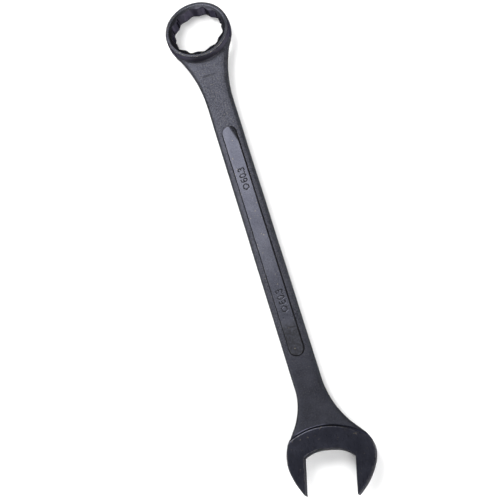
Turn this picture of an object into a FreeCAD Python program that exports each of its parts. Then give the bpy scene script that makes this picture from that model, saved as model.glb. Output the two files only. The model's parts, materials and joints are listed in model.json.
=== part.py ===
"""Jumbo combination wrench, 2-3/8 inch across flats, drop forged in one piece.

All sizes are in millimetres.  The origin is the centre of the twelve-point socket.
+X runs along the shank towards the open end, +Z comes out of the marked face, and
the forging's parting plane is z = 0.  The real tool is a single forging.  It is
divided here on its natural boundaries into named zones that meet face to face.
"""
import FreeCAD, Part
from math import acos, cos, degrees, hypot, radians, sin, tan
import os

V = FreeCAD.Vector
Z_AXIS = V(0, 0, 1)
OUT = "parts"

# ---- driving sizes ----------------------------------------------------------
ACROSS_FLATS = 60.33          # 2-3/8 inch
SOCKET_CLEARANCE = 0.25       # added to the across-flats size in the box end
JAW_CLEARANCE = 0.55          # added to it in the open end
CENTRES = 565.7               # socket centre to jaw centre

RING_OFFSET_DEG = 10.0        # the ring is cranked out of the shank's plane
RING_FACE_R = 41.3            # outer radius at the two ground ring faces
RING_MID_R = 42.4             # outer radius at mid thickness (forged crown)
RING_THICK = 21.0
SOCKET_PHASE_DEG = 3.3        # turn of the twelve points about the ring axis
SOCKET_RELIEF_R = 34.2        # round bottoms of the twelve notches
SOCKET_MOUTH_R = 37.2         # outer radius of the lead-in chamfer
SOCKET_MOUTH_DEG = 22.0       # slope of the lead-in at each end of the socket
RING_ROOT_FILLET = 2.2        # fillet between the ring wall and the neck
SPOT_FACE_R = 43.4            # cutter that clears the rear ring face out of the neck

SHANK_WIDTH = 34.8
SHANK_THICK = 15.0
SHANK_EDGE_R = 4.0            # rounded long edges of shank and necks
BOX_NECK_END = 101.0          # where the box-end flare has died into the shank
BOX_NECK_R = 174.0            # plan radius of that flare
BOX_NECK_TUCK = 2.0           # how far inside the ring's wall the flare stops
OPEN_NECK_START = 474.0       # where the open-end flare begins

PANEL_START = 136.0           # raised panel, at its base
PANEL_END = 443.4
PANEL_WIDTH = 19.6
PANEL_RISE = 1.6
PANEL_SIDE_RUN = 1.3          # how far the drafted panel side leans in over its rise
PANEL_NOTCH_LENGTH = 25.0     # unground corner at the box end of the panel
PANEL_NOTCH_WIDTH = 8.0
PANEL_NOTCH_LIP = 0.3         # height left standing at that corner's outer edge

HEAD_THICK = 21.0
JAW_ANGLE_DEG = 14.4          # open end is turned this far from the shank
UPPER_TIP_REACH = 48.7        # from the jaw centre to the tips, along the jaw axis
LOWER_TIP_REACH = 47.0
THROAT_DEPTH = 6.3            # throat bottom behind the jaw centre
UPPER_THROAT_CORNER = 4.3     # throat corners ahead of the jaw centre
LOWER_THROAT_CORNER = 2.8
THROAT_POWER = 2.7            # how square the throat curve is
HEAD_BACK_R = 75.0            # rear edge of the ground head face, centred on the jaw axis
HEAD_BACK_REACH = 32.2        # from the jaw centre back to that edge
HEAD_STEP_RUN = 2.0           # slope between the head face and the neck
HEAD_RIM_R = 1.6              # rounded outer rim of the head and jaws

# plan outline of the open end: tangent points and crowns read along the shank
UPPER_FLARE_START = OPEN_NECK_START
UPPER_FLARE_R = 113.5
UPPER_FLARE_DEG = 34.34
UPPER_CROWN = V(571.7, 53.76, 0)
UPPER_SHOULDER_R = 34.1
UPPER_CHEEK_R = 35.35
UPPER_CHEEK_DEG = 28.8
LOWER_FLARE_START = 479.5
LOWER_FLARE_R = 75.6
LOWER_FLARE_DEG = 39.6
LOWER_CROWN = V(568.6, -51.65, 0)
LOWER_SHOULDER_R = 55.4
LOWER_CHEEK_R = 36.0
LOWER_CHEEK_DEG = 7.5
TIP_FLAT = 1.2                # blunt width of each jaw tip

# ---- derived values ---------------------------------------------------------
SHANK_HALF = SHANK_WIDTH / 2
SOCKET_FLATS = ACROSS_FLATS + SOCKET_CLEARANCE
JAW_FLATS = ACROSS_FLATS + JAW_CLEARANCE
JAW_CENTRE = V(CENTRES, 0, 0)
JAW_DIR = V(cos(radians(JAW_ANGLE_DEG)), -sin(radians(JAW_ANGLE_DEG)), 0)
JAW_SIDE = V(sin(radians(JAW_ANGLE_DEG)), cos(radians(JAW_ANGLE_DEG)), 0)
HEAD_BACK_CENTRE = JAW_CENTRE + JAW_DIR * (HEAD_BACK_R - HEAD_BACK_REACH)
BIG = 200.0                   # longer than any feature, for cutting blocks
TINY = 1e-4


# ---- small helpers ----------------------------------------------------------
def line(a, b):
    return Part.LineSegment(a, b).toShape()


def arc(a, mid, b):
    return Part.Arc(a, mid, b).toShape()


def on_circle(centre, radius, angle_deg):
    turn = radians(angle_deg)
    return centre + V(radius * cos(turn), radius * sin(turn), 0)


def arc_about(centre, radius, start_deg, end_deg):
    middle = (start_deg + end_deg) / 2
    ends = [on_circle(centre, radius, a) for a in (start_deg, middle, end_deg)]
    return arc(*ends)


def slab(edges, low, high):
    """Upright solid between two heights from a closed plan outline at z = 0."""
    face = Part.Face(Part.Wire(Part.__sortEdges__(edges)))
    face.translate(V(0, 0, low))
    return face.extrude(V(0, 0, high - low))


def jaw_point(along, across):
    """Point given along and across the jaw axis."""
    return JAW_CENTRE + JAW_DIR * along + JAW_SIDE * across


def tilt_ring(shape):
    """Crank a shape built upright about the origin by the box end's offset."""
    shape.rotate(V(0, 0, 0), V(0, 1, 0), -RING_OFFSET_DEG)
    return shape


def save(shape, name):
    solid = shape.removeSplitter()
    assert solid.isValid(), name
    assert len(solid.Solids) == 1, (name, len(solid.Solids))
    solid.exportStep(os.path.join(OUT, name + ".step"))
    box = solid.BoundBox
    print("%-18s %9.0f mm3  x %.1f..%.1f  y %.1f..%.1f  z %.1f..%.1f" % (
        name, solid.Volume, box.XMin, box.XMax, box.YMin, box.YMax, box.ZMin, box.ZMax))
    return solid


# ---- box end ----------------------------------------------------------------
def crowned_disc():
    """Outer form of the ring without its socket: two flat faces, a crowned wall."""
    half = RING_THICK / 2
    wall = arc(V(RING_FACE_R, 0, -half), V(RING_MID_R, 0, 0), V(RING_FACE_R, 0, half))
    profile = [
        line(V(0, 0, -half), V(RING_FACE_R, 0, -half)),
        wall,
        line(V(RING_FACE_R, 0, half), V(0, 0, half)),
        line(V(0, 0, half), V(0, 0, -half)),
    ]
    face = Part.Face(Part.Wire(profile))
    return face.revolve(V(0, 0, 0), Z_AXIS, 360)


def hexagon_prism(turn_deg, length):
    corner_r = SOCKET_FLATS / 2 / cos(radians(30))
    corners = [on_circle(V(0, 0, 0), corner_r, turn_deg + 60 * i) for i in range(7)]
    face = Part.Face(Part.makePolygon(corners))
    face.translate(V(0, 0, -length / 2))
    return face.extrude(V(0, 0, length))


def socket_tool():
    """Twelve points with rounded notch bottoms, and a lead-in cone at each face."""
    length = 2 * RING_THICK
    star = hexagon_prism(SOCKET_PHASE_DEG, length)
    star = star.fuse(hexagon_prism(SOCKET_PHASE_DEG + 30, length))
    star = star.common(Part.makeCylinder(SOCKET_RELIEF_R, length, V(0, 0, -length / 2)))
    depth = SOCKET_MOUTH_R * tan(radians(SOCKET_MOUTH_DEG))
    half = RING_THICK / 2
    upper = Part.makeCone(0, SOCKET_MOUTH_R, depth, V(0, 0, half - depth))
    lower = Part.makeCone(0, SOCKET_MOUTH_R, depth, V(0, 0, depth - half), V(0, 0, -1))
    return star.fuse([upper, lower])


def box_ring():
    return tilt_ring(crowned_disc().cut(socket_tool()))


def box_neck_blank():
    """Flared bar with rounded edges, running on under the ring."""
    spread = RING_FACE_R - SHANK_HALF - BOX_NECK_TUCK
    flare_end_deg = degrees(acos(1 - spread / BOX_NECK_R))
    halves = []
    for side in (1, -1):
        centre = V(BOX_NECK_END, side * (SHANK_HALF + BOX_NECK_R), 0)
        start = V(BOX_NECK_END, side * SHANK_HALF, 0)
        middle = on_circle(centre, BOX_NECK_R, side * (-90 - flare_end_deg / 2))
        end = on_circle(centre, BOX_NECK_R, side * (-90 - flare_end_deg))
        halves.append((start, middle, end))
    upper, lower = halves
    edges = [arc(*upper), arc(*lower)]
    edges.append(line(upper[0], lower[0]))
    edges.append(line(upper[2], lower[2]))
    blank = slab(edges, -SHANK_THICK / 2, SHANK_THICK / 2)
    long_edges = [e for e in blank.Edges if isinstance(e.Curve, Part.Circle)]
    return blank.makeFillet(SHANK_EDGE_R, long_edges)


def root_fillet_edges(shape):
    """Edges where the ring wall meets the neck's upper face."""
    top = SHANK_THICK / 2
    found = []
    for edge in shape.Edges:
        points = edge.discretize(5)
        flat = all(abs(p.z - top) < TINY for p in points)
        near_ring = all(hypot(p.x, p.y) < RING_MID_R + RING_ROOT_FILLET for p in points)
        if flat and near_ring and max(p.x for p in points) > 0:
            found.append(edge)
    return found


def box_neck():
    disc = tilt_ring(crowned_disc())
    behind = Part.makeCylinder(SPOT_FACE_R, BIG, V(0, 0, -RING_THICK / 2), V(0, 0, -1))
    joined = box_neck_blank().fuse(disc).removeSplitter()
    joined = joined.makeFillet(RING_ROOT_FILLET, root_fillet_edges(joined))
    neck = joined.cut(disc).cut(tilt_ring(behind))
    return max(neck.Solids, key=lambda s: s.Volume)


# ---- shank and raised panels ------------------------------------------------
def shank():
    """Plain bar between the two flares."""
    length = OPEN_NECK_START - BOX_NECK_END
    corner = V(BOX_NECK_END, -SHANK_HALF, -SHANK_THICK / 2)
    bar = Part.makeBox(length, SHANK_WIDTH, SHANK_THICK, corner)
    long_edges = [e for e in bar.Edges if abs(e.Length - length) < TINY]
    return bar.makeFillet(SHANK_EDGE_R, long_edges)


def stadium(start, end, width, height):
    """Closed wire with two straight sides and two round ends, at one height."""
    r = width / 2
    corners = {(x, s): V(x, s * r, height) for x in (start + r, end - r) for s in (1, -1)}
    edges = [
        line(corners[start + r, 1], corners[end - r, 1]),
        arc(corners[end - r, 1], V(end, 0, height), corners[end - r, -1]),
        line(corners[end - r, -1], corners[start + r, -1]),
        arc(corners[start + r, -1], V(start, 0, height), corners[start + r, 1]),
    ]
    return Part.Wire(edges)


def panel_boss(side):
    """Raised panel with drafted sides, on the marked face (1) or the rear face (-1)."""
    run = PANEL_SIDE_RUN
    base_z = side * SHANK_THICK / 2
    top_z = base_z + side * PANEL_RISE
    base = stadium(PANEL_START, PANEL_END, PANEL_WIDTH, base_z)
    top = stadium(PANEL_START + run, PANEL_END - run, PANEL_WIDTH - 2 * run, top_z)
    return Part.makeLoft([base, top], True, True)


def front_panel():
    """Panel of the marked face: one corner at the box end is left unground."""
    base_z = SHANK_THICK / 2
    top_z = base_z + PANEL_RISE
    start_x = PANEL_START + PANEL_SIDE_RUN
    edge_y = PANEL_WIDTH / 2 - PANEL_SIDE_RUN
    a = V(start_x, edge_y - PANEL_NOTCH_WIDTH, top_z)
    b = V(start_x + PANEL_NOTCH_LENGTH, edge_y, top_z)
    c = V(PANEL_START, PANEL_WIDTH / 2, base_z + PANEL_NOTCH_LIP)
    normal = (b - a).cross(c - a).normalize()
    if normal.z < 0:
        normal = normal * -1
    waste = Part.makeBox(BIG, BIG, BIG, V(-BIG / 2, -BIG / 2, 0))
    waste.Placement = FreeCAD.Placement(a, FreeCAD.Rotation(Z_AXIS, normal))
    return panel_boss(1).cut(waste)


# ---- open end ---------------------------------------------------------------
def side_outline(side, flare_start, flare_r, flare_deg, crown, shoulder_r):
    """Concave flare, straight shoulder and convex arc up to the crown of one side."""
    start = V(flare_start, side * SHANK_HALF, 0)
    flare_centre = start + V(0, side * flare_r, 0)
    flare_mid = on_circle(flare_centre, flare_r, side * (-90 + flare_deg / 2))
    flare_end = on_circle(flare_centre, flare_r, side * (-90 + flare_deg))
    shoulder_centre = crown - V(0, side * shoulder_r, 0)
    top_start = on_circle(shoulder_centre, shoulder_r, side * (90 + flare_deg))
    top_mid = on_circle(shoulder_centre, shoulder_r, side * (90 + flare_deg / 2))
    return [
        arc(start, flare_mid, flare_end),
        line(flare_end, top_start),
        arc(top_start, top_mid, crown),
    ]


def neck_outline():
    """Both sides of the open end up to their crowns, closed across the shank."""
    edges = side_outline(
        1, UPPER_FLARE_START, UPPER_FLARE_R, UPPER_FLARE_DEG, UPPER_CROWN, UPPER_SHOULDER_R)
    edges += side_outline(
        -1, LOWER_FLARE_START, LOWER_FLARE_R, LOWER_FLARE_DEG, LOWER_CROWN, LOWER_SHOULDER_R)
    upper = V(OPEN_NECK_START, SHANK_HALF, 0)
    lower = V(OPEN_NECK_START, -SHANK_HALF, 0)
    edges.append(line(V(LOWER_FLARE_START, -SHANK_HALF, 0), lower))
    edges.append(line(lower, upper))
    return edges


def arc_with_start_tangent(start, heading, end):
    """Arc that leaves start along heading and finishes at end."""
    chord = end - start
    bend = heading.getAngle(chord)
    bulge = chord.Length / 2 * tan(bend / 2)
    across = Z_AXIS.cross(chord).normalize()
    if across.dot(heading) < 0:
        across = across * -1
    return arc(start, start + chord * 0.5 + across * bulge, end)


def throat_corner(side):
    """How far ahead of the jaw centre one jaw flat starts."""
    return UPPER_THROAT_CORNER if side > 0 else LOWER_THROAT_CORNER


def jaw_outline(side, crown, cheek_r, cheek_deg, tip_reach):
    """Outer cheek, blunt tip and jaw flat of one jaw."""
    corner = jaw_point(throat_corner(side), side * JAW_FLATS / 2)
    tip = jaw_point(tip_reach, side * JAW_FLATS / 2)
    blunt = tip + JAW_SIDE * (side * TIP_FLAT)
    centre = crown - V(0, side * cheek_r, 0)
    cheek_start_deg = side * 90
    cheek_end_deg = side * (90 - cheek_deg)
    cheek = arc_about(centre, cheek_r, cheek_start_deg, cheek_end_deg)
    cheek_end = on_circle(centre, cheek_r, cheek_end_deg)
    heading = V(cos(radians(cheek_deg)), -side * sin(radians(cheek_deg)), 0)
    nose = arc_with_start_tangent(cheek_end, heading, blunt)
    return [cheek, nose, line(blunt, tip), line(tip, corner)]


def throat_edge():
    """Rounded throat between the two inner corners of the jaws."""
    steps = 12
    points = []
    for i in range(-steps, steps + 1):
        share = i / steps
        rise = (THROAT_DEPTH + throat_corner(share)) * abs(share) ** THROAT_POWER
        points.append(jaw_point(rise - THROAT_DEPTH, share * JAW_FLATS / 2))
    curve = Part.BSplineCurve()
    curve.interpolate(points)
    return curve.toShape()


def open_end_plan():
    edges = neck_outline()
    edges += jaw_outline(1, UPPER_CROWN, UPPER_CHEEK_R, UPPER_CHEEK_DEG, UPPER_TIP_REACH)
    edges += jaw_outline(-1, LOWER_CROWN, LOWER_CHEEK_R, LOWER_CHEEK_DEG, LOWER_TIP_REACH)
    edges.append(throat_edge())
    return edges


def head_disc():
    """Round solid behind which the neck starts, sloped at both ground faces."""
    half = HEAD_THICK / 2
    neck_half = SHANK_THICK / 2
    outer_r = HEAD_BACK_R + HEAD_STEP_RUN
    core = Part.makeCylinder(outer_r, 2 * neck_half, V(0, 0, -neck_half))
    rise = half - neck_half
    upper = Part.makeCone(outer_r, HEAD_BACK_R, rise, V(0, 0, neck_half))
    lower = Part.makeCone(outer_r, HEAD_BACK_R, rise, V(0, 0, -neck_half), V(0, 0, -1))
    disc = core.fuse([upper, lower])
    disc.translate(HEAD_BACK_CENTRE)
    return disc


def jaw_zone(side):
    """Block that takes in everything ahead of the throat corners on one side."""
    corner = V(throat_corner(side), min(0, side * BIG), -BIG)
    block = Part.makeBox(BIG, BIG, 2 * BIG, corner)
    block.rotate(V(0, 0, 0), Z_AXIS, -JAW_ANGLE_DEG)
    block.translate(JAW_CENTRE)
    return block


def on_end_face(p):
    """True on the flat faces where the neck blank is simply cut off."""
    at_shank = p.x < OPEN_NECK_START + TINY
    across_head = abs(p.y) < SHANK_HALF - 1 and p.x > UPPER_FLARE_START + SHANK_WIDTH
    return at_shank or across_head


def on_jaw_opening(p):
    """True on the throat, the jaw flats and the blunt tips."""
    offset = V(p.x, p.y, 0) - JAW_CENTRE
    along = offset.dot(JAW_DIR)
    across = offset.dot(JAW_SIDE)
    in_gap = abs(across) < JAW_FLATS / 2 + TINY and along > -THROAT_DEPTH - 1
    at_tip = along > LOWER_TIP_REACH - TINY
    return in_gap or at_tip or p.x < OPEN_NECK_START + TINY


def rounded_plan(edges, thick, radius, keep_sharp):
    """Slab of a plan outline with its outer rims rounded."""
    half = thick / 2
    blank = slab(edges, -half, half)
    rims = []
    for edge in blank.Edges:
        points = edge.discretize(5)
        level = all(abs(abs(p.z) - half) < TINY for p in points)
        if level and not keep_sharp(points[2]):
            rims.append(edge)
    return blank.makeFillet(radius, rims)


def open_neck():
    """Flared bar between the shank and the head, with rounded long edges."""
    edges = neck_outline()
    edges.append(line(UPPER_CROWN, LOWER_CROWN))
    blank = rounded_plan(edges, SHANK_THICK, SHANK_EDGE_R, on_end_face)
    neck = blank.cut(head_disc())
    return max(neck.Solids, key=lambda s: s.BoundBox.XLength)


def open_head_blank():
    """Whole head with both jaws: everything inside the rear edge of the ground faces."""
    blank = rounded_plan(open_end_plan(), HEAD_THICK, HEAD_RIM_R, on_jaw_opening)
    return blank.common(head_disc())


def open_head():
    return open_head_blank().cut([jaw_zone(1), jaw_zone(-1)])


def jaw(side):
    return open_head_blank().common(jaw_zone(side))


# ---- hand over --------------------------------------------------------------
def main():
    os.makedirs(OUT, exist_ok=True)
    parts = {
        "box_ring": box_ring(),
        "box_neck": box_neck(),
        "shank": shank(),
        "raised_panel_front": front_panel(),
        "raised_panel_rear": panel_boss(-1),
        "open_neck": open_neck(),
        "open_head": open_head(),
        "upper_jaw": jaw(1),
        "lower_jaw": jaw(-1),
    }
    for name, shape in parts.items():
        save(shape, name)


main()
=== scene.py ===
"""Looks of the jumbo combination wrench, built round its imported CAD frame.

Shapes are worked out in millimetres and written to their meshes in metres.  The frame
is the CAD frame: the origin is the centre of the twelve-point socket, +X runs along
the shank to the open end, and +Z comes out of the marked face.
"""
import json
from math import acos, asin, atan2, cos, degrees, hypot, pi, radians, sin, tan

import bmesh
import bpy
import numpy as np
from mathutils import Matrix, Vector


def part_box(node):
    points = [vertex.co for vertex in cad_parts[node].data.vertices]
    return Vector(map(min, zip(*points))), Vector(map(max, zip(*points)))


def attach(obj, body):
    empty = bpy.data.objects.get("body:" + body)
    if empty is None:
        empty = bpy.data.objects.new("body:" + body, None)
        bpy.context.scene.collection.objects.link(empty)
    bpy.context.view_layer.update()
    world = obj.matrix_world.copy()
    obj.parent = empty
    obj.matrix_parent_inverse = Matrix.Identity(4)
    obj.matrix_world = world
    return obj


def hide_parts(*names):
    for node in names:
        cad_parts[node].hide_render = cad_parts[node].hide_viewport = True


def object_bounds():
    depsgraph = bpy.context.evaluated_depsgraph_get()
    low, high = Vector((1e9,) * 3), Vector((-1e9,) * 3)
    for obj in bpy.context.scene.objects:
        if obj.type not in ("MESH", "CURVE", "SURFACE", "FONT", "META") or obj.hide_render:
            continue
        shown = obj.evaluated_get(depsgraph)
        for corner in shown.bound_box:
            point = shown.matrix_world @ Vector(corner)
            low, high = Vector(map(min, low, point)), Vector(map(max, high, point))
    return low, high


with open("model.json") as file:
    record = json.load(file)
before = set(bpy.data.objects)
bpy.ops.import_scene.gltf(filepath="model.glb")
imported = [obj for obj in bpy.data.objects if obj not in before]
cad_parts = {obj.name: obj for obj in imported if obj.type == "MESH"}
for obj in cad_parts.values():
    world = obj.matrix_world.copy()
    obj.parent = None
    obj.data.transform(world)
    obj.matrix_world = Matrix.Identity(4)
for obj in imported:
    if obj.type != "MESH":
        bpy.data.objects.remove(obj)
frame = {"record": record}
cad_low, cad_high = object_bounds()

MM = 0.001
CAP_SIDES = 12                # a face with more corners than this is a flat cut face


# ---- places read from the frame ---------------------------------------------
def node_box(name):
    """Lowest and highest corner of a CAD node's box, in millimetres."""
    low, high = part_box(name)
    return np.array(low) / MM, np.array(high) / MM


def mount(name):
    return next(m for m in frame["record"]["mounts"] if m["name"] == name)


SHANK_LOW, SHANK_HIGH = node_box("shank")
PANEL_LOW, PANEL_HIGH = node_box("raised_panel_front")
HEAD_LOW, HEAD_HIGH = node_box("open_head")
NECK_LOW = node_box("box_neck")[0]

RING_LEAN = asin(-mount("box_socket")["axis"][0])
JAW_CENTRE = np.array(mount("jaw_opening")["pos_m"][:2]) / MM
SHANK_HALF = SHANK_HIGH[1]
SHANK_TOP = SHANK_HIGH[2]
HEAD_TOP = HEAD_HIGH[2]
BOX_SEAM = SHANK_LOW[0]
OPEN_SEAM = SHANK_HIGH[0]

# ---- sizes of the forging, in millimetres -----------------------------------
ACROSS_FLATS = 60.33
SOCKET_HALF = (ACROSS_FLATS + 0.25) / 2
JAW_HALF = (ACROSS_FLATS + 0.55) / 2

RING_FACE_R = 41.3
RING_MID_R = 42.4
RING_HALF = 10.5
SOCKET_PHASE_DEG = 3.3
SOCKET_RELIEF_R = 34.2
SOCKET_MOUTH_R = 37.2
SOCKET_MOUTH_DEG = 22.0
RING_ROOT_FILLET = 2.2
SPOT_FACE_R = 43.4
NECK_SINK = 0.4               # how deep in the ring's wall the neck's fillet runs out
NECK_SKIN = 1.0               # how deep in the wall the neck's solid starts
NECK_TIP = 18.5               # up to here the flare stays that deep in the wall
NECK_RISE = 0.2               # slope at which it comes out of the wall after that
CREASE_X = 63.0               # short forging crease across the box neck
CREASE_DEPTH = 0.5

SHANK_EDGE_R = 4.0
EDGE_FALL = 0.7               # how far the faces fall away towards the outline
EDGE_FALL_RUN = 9.5           # and over what width
BOX_NECK_R = 174.0
PANEL_SIDE_RUN = 1.3
PANEL_ROUND = 0.35            # run over which a panel's shoulders are rounded
PANEL_SINK = 0.8              # how far a panel's solid reaches into the shank
PANEL_SHADE_WIDEN = 0.9              # how much wider the band the belt missed, painted as shade, runs on the +Y edge, away from the light
PANEL_NOTCH = (25.0, 7.0)     # length and width of the panel's corner that the belt missed
MARK_ENDS = (224.0, 387.0)    # where the two size marks start; they read towards -X
MARK_FOOT = 4.4               # distance of their foot from the panel's centre line
MARK_DEPTH = 0.32
MARK_HALF_STROKE = 0.58

JAW_ANGLE = radians(14.4)
JAW_DIR = np.array([cos(JAW_ANGLE), -sin(JAW_ANGLE)])
JAW_SIDE = np.array([sin(JAW_ANGLE), cos(JAW_ANGLE)])
THROAT_DEPTH = 6.3
THROAT_POWER = 2.7
TIP_FLAT = 1.2
HEAD_BACK_R = 75.0
HEAD_BACK_REACH = 32.2        # from the jaw centre back to the step's top edge
HEAD_BACK_CENTRE = JAW_CENTRE + JAW_DIR * (HEAD_BACK_R - HEAD_BACK_REACH)
HEAD_STEP_RUN = 2.0
HEAD_STEP_EDGE_R = 0.7
HEAD_FOOT_FILLET = 1.0
HEAD_RIM_R = 1.6
JAW_RIM_R = 0.45              # the rim is this sharp round the jaw opening
NECK_OVERLAP = 3.0            # how far the open neck runs on inside the head

UPPER = dict(
    side=1, flare_start=OPEN_SEAM, flare_r=113.5, flare_deg=34.34, crown=(571.7, 53.76),
    shoulder_r=34.1, cheek_r=35.35, cheek_deg=28.8, tip_reach=48.7, corner=4.3)
LOWER = dict(
    side=-1, flare_start=479.5, flare_r=75.6, flare_deg=39.6, crown=(568.6, 51.65),
    shoulder_r=55.4, cheek_r=36.0, cheek_deg=7.5, tip_reach=47.0, corner=2.8)


# ---- plan outline -----------------------------------------------------------
def arc_points(centre, radius, start_deg, end_deg):
    """Points along an arc, about one and a half millimetres apart."""
    count = max(4, int(abs(radians(end_deg - start_deg)) * radius / 1.5))
    turn = np.radians(np.linspace(start_deg, end_deg, count))
    return np.array(centre) + radius * np.stack([np.cos(turn), np.sin(turn)], 1)


def tangent_arc(start, heading, end):
    """Points of the arc that leaves start along heading and finishes at end."""
    chord = end - start
    length = hypot(*chord)
    across = np.array([-chord[1], chord[0]]) / length
    if across @ heading < 0:
        across = -across
    bulge = length / 2 * tan(acos(heading @ chord / length) / 2)
    radius = (length * length / 4 + bulge * bulge) / (2 * bulge)
    centre = start + chord / 2 + across * (bulge - radius)
    first = atan2(*(start - centre)[::-1])
    sweep = (atan2(*(end - centre)[::-1]) - first + pi) % (2 * pi) - pi
    return arc_points(centre, radius, degrees(first), degrees(first + sweep))


def jaw_point(along, across):
    """A point given along the jaw axis and across it, from the jaw centre."""
    return JAW_CENTRE + JAW_DIR * along + JAW_SIDE * across


def half_outline(s):
    """One side of the wrench from the box-end flare to the inner corner of its jaw."""
    mirror = np.array([1, s["side"]])
    spread_deg = degrees(acos(1 - (RING_FACE_R - SHANK_HALF - 2) / BOX_NECK_R))
    box_flare_centre = (BOX_SEAM, SHANK_HALF + BOX_NECK_R)
    box_flare = arc_points(box_flare_centre, BOX_NECK_R, -90 - spread_deg, -90)
    flare_centre = (s["flare_start"], SHANK_HALF + s["flare_r"])
    flare = arc_points(flare_centre, s["flare_r"], -90, -90 + s["flare_deg"])
    crown = np.array(s["crown"])
    shoulder_centre = crown - (0, s["shoulder_r"])
    shoulder = arc_points(shoulder_centre, s["shoulder_r"], 90 + s["flare_deg"], 90)
    cheek_centre = crown - (0, s["cheek_r"])
    cheek = arc_points(cheek_centre, s["cheek_r"], 90, 90 - s["cheek_deg"])
    turn = radians(s["cheek_deg"])
    tip = jaw_point(s["tip_reach"], s["side"] * JAW_HALF)
    blunt = tip + JAW_SIDE * (s["side"] * TIP_FLAT)
    nose = tangent_arc(cheek[-1], np.array([cos(turn), -sin(turn)]), blunt * mirror)
    corner = jaw_point(s["corner"], s["side"] * JAW_HALF)
    outer = np.concatenate([box_flare, flare, shoulder[:-1], cheek, nose[1:]]) * mirror
    return np.concatenate([outer, [tip, corner]])


def throat_corner(share):
    """How far along the jaw axis the throat meets the jaw on that side."""
    return np.where(share > 0, UPPER["corner"], LOWER["corner"])


def throat_reach(share):
    """How far along the jaw axis the throat lies, for a share -1..1 across it."""
    return (THROAT_DEPTH + throat_corner(share)) * np.abs(share) ** THROAT_POWER - THROAT_DEPTH


def plan_outline():
    """Corners of the whole plan, from the box-end flare round the jaws and back."""
    share = np.linspace(1, -1, 49)[1:-1]
    throat = np.stack([jaw_point(throat_reach(s), s * JAW_HALF) for s in share])
    return np.concatenate([half_outline(UPPER), throat, half_outline(LOWER)[::-1]])


class PlanDistance:
    """Signed distance to the plan outline, worked out once on a grid and looked up."""

    def __init__(self, outline, step=0.5, margin=8.0):
        self.step = step
        self.low = outline.min(0) - margin
        counts = np.ceil((outline.max(0) + margin - self.low) / step).astype(int) + 1
        xs = self.low[0] + step * np.arange(counts[0])
        ys = self.low[1] + step * np.arange(counts[1])
        start = outline
        end = np.roll(outline, -1, 0)
        run = end - start
        length2 = (run * run).sum(1)
        self.grid = np.empty(counts)
        for i, x in enumerate(xs):
            dx = x - start[:, 0]
            dy = ys[:, None] - start[None, :, 1]
            along = np.clip((dx * run[:, 0] + dy * run[:, 1]) / length2, 0, 1)
            away = np.hypot(dx - along * run[:, 0], dy - along * run[:, 1]).min(1)
            crosses = (start[:, 0] > x) != (end[:, 0] > x)
            height = start[crosses, 1] + run[crosses, 1] * (
                (x - start[crosses, 0]) / run[crosses, 0])
            inside = (ys[:, None] < height[None, :]).sum(1) % 2 == 1
            self.grid[i] = np.where(inside, -away, away)

    def __call__(self, points):
        spot = (points[:, :2] - self.low) / self.step
        spot = np.clip(spot, 0, np.array(self.grid.shape) - 1.001)
        cell = spot.astype(int)
        fx, fy = (spot - cell).T
        i, j = cell.T
        g = self.grid
        near = g[i, j] * (1 - fy) + g[i, j + 1] * fy
        far = g[i + 1, j] * (1 - fy) + g[i + 1, j + 1] * fy
        return near * (1 - fx) + far * fx


# ---- solids as signed distances ---------------------------------------------
def rounded_meet(a, b, radius):
    """Both solids at once, with their shared convex edge rounded."""
    over_a = np.maximum(radius + a, 0)
    over_b = np.maximum(radius + b, 0)
    return np.minimum(-radius, np.maximum(a, b)) + np.hypot(over_a, over_b)


def rounded_join(a, b, radius):
    """Either solid, with a fillet in the corner between them."""
    return -rounded_meet(-a, -b, radius)


def smooth_step(value, low, high):
    t = np.clip((value - low) / (high - low), 0, 1)
    return t * t * (3 - 2 * t)


class Waves:
    """Soft lumps with no repeat: a few sine waves in seeded directions."""

    def __init__(self, seed, length, count=14):
        rng = np.random.default_rng(seed)
        heading = rng.normal(size=(3, count))
        heading /= np.linalg.norm(heading, axis=0)
        self.waves = heading * (2 * pi / (length * rng.uniform(0.7, 1.5, count)))
        self.phase = rng.uniform(0, 2 * pi, count)

    def __call__(self, points):
        return np.sin(points @ self.waves + self.phase).sum(1) / len(self.phase) ** 0.5


forged_lumps = Waves(seed=3, length=13.0)
forged_sway = Waves(seed=5, length=60.0)
ground_sway = Waves(seed=8, length=26.0)
plan_distance = PlanDistance(plan_outline())


def forging_skin(points):
    """Uneven skin that the dies leave: long sways and small lumps, set a little inward."""
    return 0.16 + 0.06 * forged_sway(points) + 0.03 * forged_lumps(points)


def bar(points):
    """Shank and both flares: the outline at shank thickness with rounded edges."""
    outline = plan_distance(points)
    fall = EDGE_FALL * np.clip(1 + outline / EDGE_FALL_RUN, 0, 1) ** 2
    thick = np.abs(points[:, 2]) - SHANK_TOP + fall
    return rounded_meet(outline, thick, SHANK_EDGE_R)


def ring_frame(points):
    """Distance from the ring's leaning axis, and height along it."""
    x, y, z = points.T
    u = x * cos(RING_LEAN) + z * sin(RING_LEAN)
    w = z * cos(RING_LEAN) - x * sin(RING_LEAN)
    return np.hypot(u, y), w


def ring_wall_r(w):
    """Outer radius of the ring at a height from its middle."""
    return RING_MID_R - (RING_MID_R - RING_FACE_R) * (w / RING_HALF) ** 2


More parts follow.
